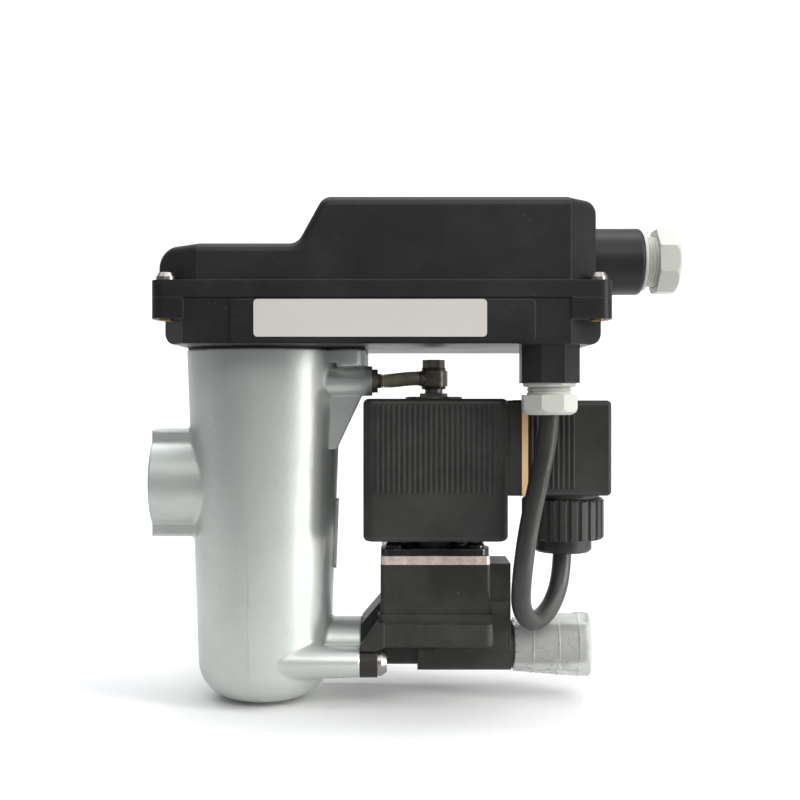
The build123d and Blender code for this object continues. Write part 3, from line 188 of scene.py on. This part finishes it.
def range_node(tree, value, low, high, to_low=0.0, to_high=1.0):
    """Value spread from low…high over to_low…to_high, and held at these ends."""
    node = tree.nodes.new("ShaderNodeMapRange")
    for label, number in (("Value", value), ("From Min", low), ("From Max", high),
                          ("To Min", to_low), ("To Max", to_high)):
        feed(tree, node.inputs[label], number)
    return node.outputs["Result"]


def noise_node(tree, place, scale, detail=2.0, roughness=0.5):
    node = tree.nodes.new("ShaderNodeTexNoise")
    for label, value in (("Vector", place), ("Scale", scale), ("Detail", detail),
                         ("Roughness", roughness)):
        feed(tree, node.inputs[label], value)
    return node.outputs["Fac"]


# %% Grain of a moulding tool
def tool_grain(broad_step=0.22, fine_share=0.75, pit_low=0.42, pit_high=0.62):
    """Fine grain on a broader one, which is broad_step as dense."""
    tree, into, out = new_effect(
        "tool_grain", {"Grains Per Metre": 2500.0, "Depth": 1.0},
        {"Height": "NodeSocketFloat", "Mask": "NodeSocketFloat"})
    fine = noise_node(tree, into["Place"], into["Grains Per Metre"], detail=3.0, roughness=0.6)
    broad_scale = math_node(tree, "MULTIPLY", into["Grains Per Metre"], broad_step)
    broad = noise_node(tree, into["Place"], broad_scale)
    both = math_node(tree, "ADD", math_node(tree, "MULTIPLY", fine, fine_share),
                     math_node(tree, "MULTIPLY", broad, 1 - fine_share))
    feed(tree, out["Height"], math_node(tree, "MULTIPLY", both, into["Depth"]))
    feed(tree, out["Mask"], range_node(tree, both, pit_low, pit_high))
    return tree


grain_effect = tool_grain()
print("made", grain_effect.name)


# %% Worn and softened edges, also a painted edge highlight
def wear_and_highlight_edge(flat=0.995, bent=0.86, patches_per_metre=260.0, bevel_samples=6):
    """Mask of rubbed edges, also used for a painted edge highlight: they show where the rounded
    normal leaves the flat one.
    """
    tree, into, out = new_effect(
        "wear_and_highlight_edge", {"Edge Radius": 0.0004, "Wear": 0.5},
        {"Mask": "NodeSocketFloat", "Soft Normal": "NodeSocketVector"})
    soft = tree.nodes.new("ShaderNodeBevel")
    soft.samples = bevel_samples
    feed(tree, soft.inputs["Radius"], into["Edge Radius"])
    geometry = tree.nodes.new("ShaderNodeNewGeometry")
    bend = tree.nodes.new("ShaderNodeVectorMath")
    bend.operation = "DOT_PRODUCT"
    feed(tree, bend.inputs[0], soft.outputs["Normal"])
    feed(tree, bend.inputs[1], geometry.outputs["Normal"])
    edge = range_node(tree, bend.outputs["Value"], flat, bent)
    noise = noise_node(tree, into["Place"], patches_per_metre, detail=4.0, roughness=0.7)
    patches = range_node(tree, noise, low=0.38, high=0.66)
    worn = math_node(tree, "MULTIPLY", math_node(tree, "MULTIPLY", edge, patches), into["Wear"],
                     clamp=True)
    feed(tree, out["Mask"], worn)
    feed(tree, out["Soft Normal"], soft.outputs["Normal"])
    return tree


edge_effect = wear_and_highlight_edge()
print("made", edge_effect.name)


# %% Settled dust
def fine_dust(specks_per_metre=420.0, groups_per_metre=90.0, films_per_metre=34.0,
              film_share=0.22):
    """Small round specks that lie in groups, on a thin uneven film."""
    tree, into, out = new_effect("fine_dust", {"Amount": 0.3}, {"Mask": "NodeSocketFloat"})
    cells = tree.nodes.new("ShaderNodeTexVoronoi")
    for label, value in (("Vector", into["Place"]), ("Scale", specks_per_metre),
                         ("Randomness", 1.0)):
        feed(tree, cells.inputs[label], value)
    specks = range_node(tree, cells.outputs["Distance"], low=0.085, high=0.045)
    groups = noise_node(tree, into["Place"], groups_per_metre, detail=1.0)
    chosen = range_node(tree, groups, low=0.52, high=0.6)
    speckled = math_node(tree, "MULTIPLY", specks, chosen)
    films = noise_node(tree, into["Place"], films_per_metre, detail=5.0, roughness=0.65)
    film = range_node(tree, films, low=0.4, high=0.75, to_high=film_share)
    total = math_node(tree, "MULTIPLY", math_node(tree, "ADD", speckled, film), into["Amount"],
                      clamp=True)
    feed(tree, out["Mask"], total)
    return tree


dust_effect = fine_dust()
print("made", dust_effect.name)


# %% Slow cloudiness
def cloudy_tone():
    tree, into, out = new_effect("cloudy_tone", {"Clouds Per Metre": 45.0},
                                 {"Mask": "NodeSocketFloat"})
    clouds = noise_node(tree, into["Place"], into["Clouds Per Metre"], detail=4.0, roughness=0.6)
    feed(tree, out["Mask"], range_node(tree, clouds, low=0.3, high=0.7))
    return tree


cloud_effect = cloudy_tone()
print("made", cloud_effect.name)


# %% [markdown]
# ## Finishes
# Most pieces share one build-up: a base colour that drifts slightly, grain in the bump, lighter
# and smoother edges where hands and tools have rubbed (on the black steel the lighter edge is also
# a painted highlight), and a little dust. Only the values differ between a spark-eroded black hood
# and a nickel-plated screw. One function lays these coats on a Principled shader and keeps the
# result under the name of its slot, so the finishes stay comparable and each one is a single
# readable line.

# %% The common build-up
def tone(red, green, blue):
    """Colour as a paint chart gives it, 0 to 255, turned into the linear light the shader uses."""
    def linear(part):
        part /= 255
        return part / 12.92 if part <= 0.04045 else ((part + 0.055) / 1.055) ** 2.4
    return (linear(red), linear(green), linear(blue), 1.0)


def blend_colour(tree, share, first, second):
    node = tree.nodes.new("ShaderNodeMix")
    node.data_type = "RGBA"
    for label, value in (("Factor", share), ("A", first), ("B", second)):
        feed(tree, node.inputs[label], value)
    return node.outputs["Result"]


def effect_node(tree, effect, place, **values):
    node = tree.nodes.new("ShaderNodeGroup")
    node.node_tree = effect
    feed(tree, node.inputs["Place"], place)
    for label, value in values.items():
        node.inputs[label.replace("_", " ")].default_value = value
    return node.outputs


finishes = {}
grey_dust = (150, 150, 146)
edge_polish = 0.12        # how much smoother a rubbed edge is
dust_dulling = 0.3        # how much rougher full dust is
bump_strength = 0.6


def finish(name, colour, drift, wear_and_highlight_colour, roughness, metal=0.0, grains=2500.0, depth=0.05,
           edge_radius=0.35, wear=0.4, dust=0.25, dust_colour=grey_dust, clouds=45.0,
           rough_drift=0.08, specular=0.5):
    """Keep a material with drifting colour, grain, worn edges (some a painted highlight) and dust;
    returns its shader.

    Grains and clouds are counted per metre; depth and edge_radius are in millimetres.
    """
    material = bpy.data.materials.new(name)
    material.use_nodes = True
    tree = material.node_tree
    shader = tree.nodes["Principled BSDF"]
    place = tree.nodes.new("ShaderNodeTexCoord").outputs["Object"]
    cloud = effect_node(tree, cloud_effect, place, Clouds_Per_Metre=clouds)["Mask"]
    grain = effect_node(tree, grain_effect, place, Grains_Per_Metre=grains, Depth=1.0)
    edge = effect_node(tree, edge_effect, place, Edge_Radius=edge_radius * MM, Wear=wear)
    specks = effect_node(tree, dust_effect, place, Amount=dust)["Mask"]

    base = blend_colour(tree, cloud, tone(*colour), tone(*drift))
    rubbed_and_highlit = blend_colour(tree, edge["Mask"], base, tone(*wear_and_highlight_colour))
    dusty = blend_colour(tree, specks, rubbed_and_highlit, tone(*dust_colour))

    rough = range_node(tree, cloud, 0.0, 1.0, roughness - rough_drift / 2,
                       roughness + rough_drift / 2)
    polish = math_node(tree, "MULTIPLY", edge["Mask"], edge_polish)
    dulling = math_node(tree, "MULTIPLY", specks, dust_dulling)
    rough = math_node(tree, "ADD", math_node(tree, "SUBTRACT", rough, polish), dulling, clamp=True)

    bump = tree.nodes.new("ShaderNodeBump")
    for label, value in (("Strength", bump_strength), ("Distance", depth * MM),
                         ("Height", grain["Height"]), ("Normal", edge["Soft Normal"])):
        feed(tree, bump.inputs[label], value)
    for label, value in (("Base Color", dusty), ("Metallic", metal), ("Roughness", rough),
                         ("Specular IOR Level", specular), ("Normal", bump.outputs["Normal"])):
        feed(tree, shader.inputs[label], value)
    finishes[name] = material
    return shader


# %% [markdown]
# ### Metals
# The container is die cast: satin, pale grey, slightly cloudy and with a fine orange-peel skin,
# never a mirror. The screws are zinc-plated steel and the plate under the armature is stainless,
# both a little warmer and shinier. The fittings of the pilot hose are nickel-plated and dull with
# dust. Brass and copper only show as small rings.

# %% Metal finishes
finish("cast_aluminium", (196, 200, 196), (180, 184, 180), (230, 233, 230), 0.40, metal=0.55,
       grains=900.0, depth=0.16, edge_radius=0.9, wear=0.35, dust=0.14, clouds=28.0,
       rough_drift=0.12)
finish("zinc_steel", (178, 174, 170), (150, 144, 140), (225, 222, 218), 0.30, metal=1.0,
       grains=1400.0, edge_radius=0.25, wear=0.5, dust=0.2, clouds=160.0)
# The pale edge colour of the black steel is partly rubbed bare steel and partly a painted
# highlight for the glossy arcs along the flange's edges.
finish("black_steel", (26, 26, 27), (32, 32, 33), (176, 174, 170), 0.20, metal=0.3,
       grains=900.0, depth=0.02, edge_radius=0.45, wear=0.8, dust=0.3, clouds=120.0)
finish("brass", (196, 160, 96), (172, 134, 78), (230, 202, 148), 0.30, metal=1.0,
       grains=1500.0, depth=0.03, edge_radius=0.2, dust=0.1, clouds=180.0)
finish("copper_seal", (92, 82, 72), (70, 64, 58), (140, 122, 104), 0.42, metal=0.7,
       grains=1500.0, depth=0.04, edge_radius=0.15, dust=0.2, clouds=220.0)
finish("nickel_metal", (152, 145, 128), (100, 95, 84), (214, 208, 194), 0.34, metal=0.35,
       grains=1500.0, edge_radius=0.15, wear=0.5, dust=0.4, clouds=260.0)
finish("stainless", (232, 216, 204), (188, 172, 160), (246, 242, 238), 0.34, metal=0.5,
       grains=1100.0, depth=0.10, edge_radius=0.2, wear=0.5, clouds=600.0)
finish("soft_iron", (140, 138, 136), (120, 118, 116), (190, 188, 186), 0.35, metal=1.0,
       grains=1800.0, depth=0.02, edge_radius=0.2, wear=0.3, dust=0.1)
finish("hose_metal", (232, 224, 196), (190, 182, 154), (244, 238, 218), 0.42,
       grains=1500.0, edge_radius=0.08, wear=0.6, dust=0.4, clouds=400.0)
print("metals:", len(finishes))


# %% [markdown]
# ### Plastics and rubber
# The hood has the even spark-eroded texture of a mould, which scatters light into a soft sheen
# along every rounded edge. The coil and the plug are a little coarser and duller, the valve body
# is glass-filled and almost matt. The glands are pale grey polyamide, the gasket between coil
# and plug is sand-coloured.

# %% Plastic and rubber finishes
finish("housing_black", (27, 27, 29), (32, 32, 34), (64, 66, 70), 0.40, grains=3200.0,
       depth=0.035, edge_radius=0.5, wear=0.30, dust=0.22, specular=0.26)
finish("coil_black", (38, 38, 36), (38, 38, 37), (96, 96, 93), 0.46, grains=2600.0,
       edge_radius=0.3, wear=0.6, dust=0.36, specular=0.32)
finish("valve_black", (31, 30, 28), (38, 37, 35), (92, 90, 86), 0.50, grains=2200.0,
       depth=0.06, dust=0.45, specular=0.30)
finish("gland_grey", (200, 201, 192), (191, 192, 183), (222, 223, 216), 0.44, grains=2600.0,
       depth=0.02, edge_radius=0.3, wear=0.3, dust_colour=(140, 134, 124))
finish("seal_rubber", (30, 30, 30), (38, 38, 38), (54, 54, 54), 0.7, grains=2200.0,
       edge_radius=0.2, wear=0.2, dust=0.5)
finish("seal_tan", (226, 186, 142), (214, 172, 128), (238, 204, 164), 0.62, grains=2400.0,
       depth=0.04, edge_radius=0.2, wear=0.2, dust=0.15, dust_colour=(150, 120, 92))
finish("board_green", (22, 78, 52), (28, 88, 60), (60, 120, 92), 0.4, grains=1500.0, depth=0.02)
finish("component_black", (34, 34, 36), (40, 40, 42), (70, 70, 72), 0.5, depth=0.03)
finish("terminal_green", (52, 128, 84), (46, 116, 76), (96, 160, 120), 0.45, depth=0.02)
finish("button_grey", (120, 122, 124), (112, 114, 116), (150, 152, 154), 0.5, depth=0.03)
finish("cable_black", (38, 38, 36), (46, 46, 44), (62, 62, 62), 0.42, grains=1600.0, depth=0.04,
       edge_radius=0.1, wear=0.1, clouds=120.0, specular=0.45)
finish("label_film", (213, 209, 203), (207, 203, 197), (226, 223, 218), 0.36, grains=900.0,
       depth=0.01, edge_radius=0.15, wear=0.5, dust=0.05, dust_colour=(150, 146, 140))
print("finishes so far:", len(finishes))


# %% [markdown]
# ### Milky cap and clear light pipes
# The protection cap is thin soft polythene. Light goes into it, scatters and comes out again, and
# the dark barbs inside show through as blurred bands. A mix of transmission and subsurface
# scattering gives that, with enough roughness that nothing behind it is sharp. The light pipes
# are clear plastic with a frosted top.

# %% Milky and clear finishes
milky = finish("cap_milky", (244, 245, 242), (236, 238, 236), (250, 250, 248), 0.28,
               grains=500.0, depth=0.04, edge_radius=0.3, dust=0.04, clouds=70.0)
for label, value in (("Transmission Weight", 0.75), ("IOR", 1.18), ("Subsurface Weight", 0.22),
                     ("Subsurface Radius", (1.0, 1.0, 1.0)), ("Subsurface Scale", 2.5 * MM)):
    milky.inputs[label].default_value = value
clear = finish("clear_pipe", (222, 226, 226), (212, 216, 216), (236, 238, 238), 0.3,
               grains=1200.0, depth=0.02, edge_radius=0.2, wear=0.2, dust=0.04)
clear.inputs["Transmission Weight"].default_value = 0.8
print("finishes in all:", len(finishes))


# %% [markdown]
# ## Dressing the solids
# Every solid already carries the name of its material slot, so the finishes are handed out by
# that name. Giving each node its own line would be longer and easy to get wrong.

# %% Hand out the finishes
missing = set()
for node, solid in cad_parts.items():
    for i, old in enumerate(solid.data.materials):
        slot_name = old.name.split(".")[0] if old else ""
        if slot_name in finishes:
            solid.data.materials[i] = finishes[slot_name]
        else:
            missing.add((node, slot_name))
print("dressed:", len(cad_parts), "without a finish:", sorted(missing))


# %% [markdown]
# ## Valve cable
# A short round cable leaves the small gland, swings in front of the plug, turns back under its
# own stiffness in a tight loop and enters the plug from below. It is one smooth line, so it is a
# NURBS curve of low order through a handful of listed points, with a round bevel. A swept
# mesh would need many more points and would show its joints.

# %% Cable
cable_route = [Vector(p) * MM for p in (
    (113.9, -24.0, 20.7), (113.9, -24.0, 15.2), (110.9, -24.2, 1.5), (108.0, -24.1, -12.0),
    (106.4, -23.2, -25.0), (106.3, -19.8, -35.2), (111.0, -13.0, -40.2), (117.2, -6.0, -36.6),
    (121.15, 0.0, -27.2), (121.15, 0.0, -14.9))]
cable_radius = 2.8 * MM


def smooth_line(name, route, radius, sides, material):
    """Round line near the route's points, from its first to its last; closed at both ends."""
    curve = bpy.data.curves.new(name, "CURVE")
    curve.dimensions = "3D"
    spline = curve.splines.new("NURBS")
    spline.points.add(len(route) - 1)
    for point, place in zip(spline.points, route):
        point.co = (*place, 1.0)
    spline.order_u = 3
    spline.use_endpoint_u = True
    spline.resolution_u = 12
    curve.bevel_depth = radius
    curve.bevel_resolution = sides // 2 - 2
    curve.use_fill_caps = True
    curve.materials.append(material)
    return add_object(name, curve)


cable = smooth_line("valve_cable_line", cable_route, cable_radius, 24, finishes["cable_black"])
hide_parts("valve_cable")
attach(cable, "drain_valve")
print("cable points:", len(cable_route))


# %% [markdown]
# ## Corrugated pilot hose
# A thin ribbed hose joins the nipple on the container to the ring fitting on the coil. Its ribs
# are real rings, because at this distance each of them catches its own light. The rings are
# circles laid along a smooth line and bridged to a skin. A bump map would be lighter, but the
# hose's outline would stay smooth.

# %% Hose
spigot_angle = math.radians(208)      # where the ring's spigot points, seen from above
spigot_reach = 5.6 * MM
hose_pull = 4.2 * MM                  # how far each end keeps its first direction


def box_middle(node):
    low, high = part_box(node)
    return (Vector(low) + Vector(high)) / 2


def hose_line(steps):
    """Places along the hose, square to the nipple and to the ring's spigot at its ends."""
    nipple, nipple_high = box_middle("hose_fitting"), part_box("hose_fitting")[1]
    ring, bolt = box_middle("banjo_ring"), box_middle("banjo_bolt")
    spigot = Vector((math.cos(spigot_angle), math.sin(spigot_angle), 0))
    start = Vector((nipple_high[0], nipple.y, nipple.z))
    end = Vector((bolt.x, bolt.y, ring.z)) + spigot * spigot_reach
    return interpolate_bezier(start, start + Vector((hose_pull, 0, 0)), end + spigot * hose_pull,
                              end, steps)


def circle_edges(bm, sides, radius, matrix):
    circle = bmesh.ops.create_circle(bm, segments=sides, radius=radius, matrix=matrix)
    return list({e for v in circle["verts"] for e in v.link_edges})


def ribbed_hose(name, root_radius, rib_radius, pitch, per_rib=6, sides=24):
    """Skin over rings that swell and shrink per_rib steps to a rib."""
    rough = hose_line(60)
    length = sum((b - a).length for a, b in zip(rough, rough[1:]))
    ribs = round(length / pitch)
    places = hose_line(ribs * per_rib + 1)
    bm = bmesh.new()
    previous = None
    for i, place in enumerate(places):
        ahead = places[min(i + 1, len(places) - 1)] - places[max(i - 1, 0)]
        swell = (0.5 - 0.5 * math.cos(2 * math.pi * i / per_rib)) ** 0.7
        radius = root_radius + (rib_radius - root_radius) * swell
        frame_here = Matrix.Translation(place) @ ahead.to_track_quat("Z", "Y").to_matrix().to_4x4()
        edges = circle_edges(bm, sides, radius, frame_here)
        if previous:
            bmesh.ops.bridge_loops(bm, edges=previous + edges)
        previous = edges
    bmesh.ops.holes_fill(bm, edges=bm.edges, sides=0)
    bmesh.ops.recalc_face_normals(bm, faces=bm.faces)
    for face in bm.faces:
        face.smooth = len(face.verts) == 4
    return object_from(bm, name, finishes["hose_metal"])


hose = ribbed_hose("pilot_hose_ribbed", 1.55 * MM, 2.1 * MM, 0.7 * MM)
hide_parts("pilot_hose")
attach(hose, "drain_valve")
print("hose faces:", len(hose.data.polygons))


# %% [markdown]
# ## Mould seam of the container
# Die castings keep a faint line where the two halves of the mould met. It is a thin bead laid on
# the wall of the solid itself: rays from the front find the wall, so the bead follows its draft
# and never floats. Drawing the line in the finish would be flatter, and it would not catch light.

# %% Seam bead
def wall_point(node, x, z):
    """Place on the front wall of a solid, found by a ray from the front, or None."""
    before_front = Vector((x, cad_low.y - 10 * MM, z))
    hit, place, *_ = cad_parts[node].ray_cast(before_front, Vector((0, 1, 0)))
    return place if hit else None


def seam_bead(name, node, x, low, high, radius, steps=16, sunk_share=0.55):
    """Bead from low to high on the wall at x, sunk in it by a share of its radius."""
    heights = [low + (high - low) * i / (steps - 1) for i in range(steps)]
    wall = [p for p in (wall_point(node, x, z) for z in heights) if p]
    route = [p + Vector((0, radius * sunk_share, 0)) for p in wall]
    return smooth_line(name, route, radius, 12, finishes["cast_aluminium"])


seam = seam_bead("container_seam", "container_casting", 29.6 * MM, -54 * MM, -14 * MM, 0.16 * MM)
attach(seam, "drain_valve")
print("seam points:", len(seam.data.splines[0].points))


# %% [markdown]
# ## Coil springs
# In the valve both coil springs shorten as their slides move, while their upper ends stand still.
# Here each is a round wire at rest, spun and raised between the same heights as its solid, with an
# even pitch.

# %% Coil springs
wire_r = 0.3 * MM
steps_per_turn, wire_sides = 24, 8


def coil_spring(name, node, turns):
    """Round wire wound along Z in the node's box, at rest and with an even pitch."""
    low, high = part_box(node)
    axis_x, axis_y = (low[0] + high[0]) / 2, (low[1] + high[1]) / 2
    mean_r = (high[0] - low[0]) / 2 - wire_r
    rise = high[2] - low[2] - 2 * wire_r
    steps = steps_per_turn * turns
    bm = bmesh.new()
    wire_start = (Matrix.Translation((axis_x + mean_r, axis_y, low[2] + wire_r))
                  @ Matrix.Rotation(math.radians(90), 4, "X"))
    wire = circle_edges(bm, wire_sides, wire_r, wire_start)
    bmesh.ops.spin(bm, geom=wire, cent=(axis_x, axis_y, 0), axis=(0, 0, 1),
                   dvec=(0, 0, rise / steps), angle=2 * math.pi * turns, steps=steps)
    bmesh.ops.holes_fill(bm, edges=bm.edges, sides=0)
    bmesh.ops.recalc_face_normals(bm, faces=bm.faces)
    for face in bm.faces:
        face.smooth = True
    coil = object_from(bm, name, finishes["stainless"])
    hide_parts(node)
    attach(coil, "drain_valve")
    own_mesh(coil)
    return coil


for coil in (coil_spring("plunger_coil", "plunger_spring", 6),
             coil_spring("diaphragm_coil", "diaphragm_spring", 4)):
    print(coil.name, "faces:", len(coil.data.polygons))


# %% [markdown]
# ## Studio light
# A small panel low on the right gives the streak on the container's lower half; its spread is
# narrow, so the upper half keeps a soft sheen only. Wide panels from the side, the front and
# above lift the black plastics out of the dark, one lights the wall behind, and a pale world
# fills the rest.

# %% Lights
warm_white, cool_white, plain_white = (1.0, 0.99, 0.97), (0.88, 0.94, 1.0), (1, 1, 1)


def soft_panel(name, place, target, width, height, power, colour):
    """Rectangular lamp that faces target; sizes in metres, power in watts."""
    lamp = bpy.data.lights.new(name, "AREA")
    lamp.shape, lamp.size, lamp.size_y = "RECTANGLE", width, height
    lamp.energy, lamp.color = power, colour
    panel = add_object(name, lamp)
    panel.location = place
    panel.rotation_euler = (Vector(target) - Vector(place)).to_track_quat("-Z", "Y").to_euler()
    return panel


streak = soft_panel("streak_panel", (0.44, -0.125, -0.03), (0.05, -0.014, -0.050),
                    0.05, 0.07, 0.024, warm_white)
streak.data.spread = math.radians(26)
soft_panel("side_panel", (0.95, -0.42, 0.45), middle, 0.30, 0.9, 8.5, warm_white)
soft_panel("front_panel", (0.15, -1.1, 0.80), middle, 0.8, 0.5, 6.0, warm_white)
soft_panel("top_panel", (0.1, -0.25, 1.1), middle, 0.9, 0.7, 3.4, cool_white)
soft_panel("wall_panel", (0.1, 0.2, 1.3), (0.1, 1.4, 0.3), 2.2, 0.8, 28.0, plain_white)
print("panels:", sum(lamp.type == "AREA" for lamp in bpy.data.lights))


# %% [markdown]
# ### Backdrop paint and air
# The sheet is pale behind the part and darker in front of it, so that it lifts the picture's
# ground to white and still sends little light up to the black plastics.

# %% Backdrop paint and world
dark_until, pale_from = -0.17, -0.11      # metres along Y
dark_paint, pale_paint = (0.22, 0.22, 0.22, 1), (0.86, 0.86, 0.86, 1)
paint_roughness = 0.9
air_colour, air_strength = (0.93, 0.95, 1.0, 1), 0.22


def backdrop_paint():
    material = bpy.data.materials.new("studio_paint")
    material.use_nodes = True
    tree = material.node_tree
    shader = tree.nodes["Principled BSDF"]
    along = tree.nodes.new("ShaderNodeSeparateXYZ")
    feed(tree, along.inputs[0], tree.nodes.new("ShaderNodeTexCoord").outputs["Object"])
    pale_part = range_node(tree, along.outputs["Y"], dark_until, pale_from)
    feed(tree, shader.inputs["Base Color"], blend_colour(tree, pale_part, dark_paint, pale_paint))
    feed(tree, shader.inputs["Roughness"], paint_roughness)
    return material


cove.data.materials.append(backdrop_paint())
world = bpy.data.worlds.new("studio_air")
world.use_nodes = True
background = world.node_tree.nodes["Background"]
background.inputs["Color"].default_value = air_colour
background.inputs["Strength"].default_value = air_strength
bpy.context.scene.world = world
bpy.context.scene.view_settings.view_transform = "Standard"
print("world strength:", air_strength)
